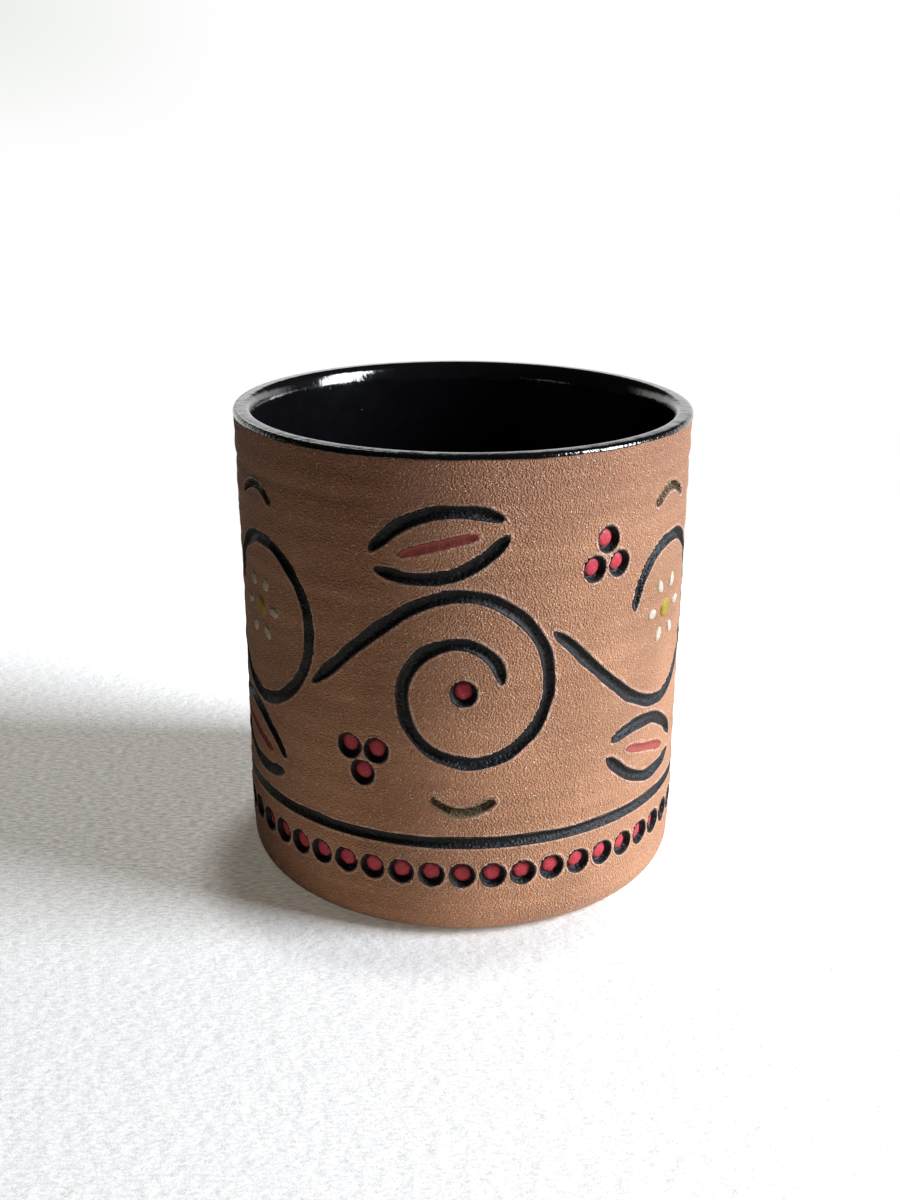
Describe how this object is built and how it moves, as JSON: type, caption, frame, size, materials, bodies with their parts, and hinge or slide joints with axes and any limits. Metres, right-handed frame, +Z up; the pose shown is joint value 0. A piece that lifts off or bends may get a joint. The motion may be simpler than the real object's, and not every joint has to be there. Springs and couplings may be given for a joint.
{
  "type": "drinking cup",
  "caption": "Handleless round stoneware drinking cup with a glossy black liner glaze and a carved vine, leaf and berry pattern filled with coloured slip.",
  "frame": {"origin": "centre of the foot, on the surface that the cup stands on", "axes": "+Z up along the cup's axis; the middle of the first carved motif faces -Y"},
  "size_m": [0.084, 0.084, 0.088],
  "materials": {
    "raw_clay": "bare fired stoneware, fine grit, matt",
    "black_glaze": "high gloss liner glaze",
    "black_slip": "matt black slip",
    "dull_red_slip": "thin matt red slip",
    "brown_glaze": "glassy brown pooled glaze",
    "white_slip": "matt off-white slip",
    "yellow_slip": "satin mustard slip",
    "bright_red_slip": "satin red slip"
  },
  "bodies": {
    "root": {"clay_body": "raw_clay", "liner_glaze": "black_glaze", "vine_black_slip": "black_slip", "leaf_black_slip": "black_slip", "border_black_slip": "black_slip", "leaf_red_slip": "dull_red_slip", "stamp_brown_glaze": "brown_glaze", "petal_white_slip": "white_slip", "flower_yellow_slip": "yellow_slip", "pit_black_slip": "black_slip", "berry_red_slip": "bright_red_slip"}
  },
  "joints": []
}
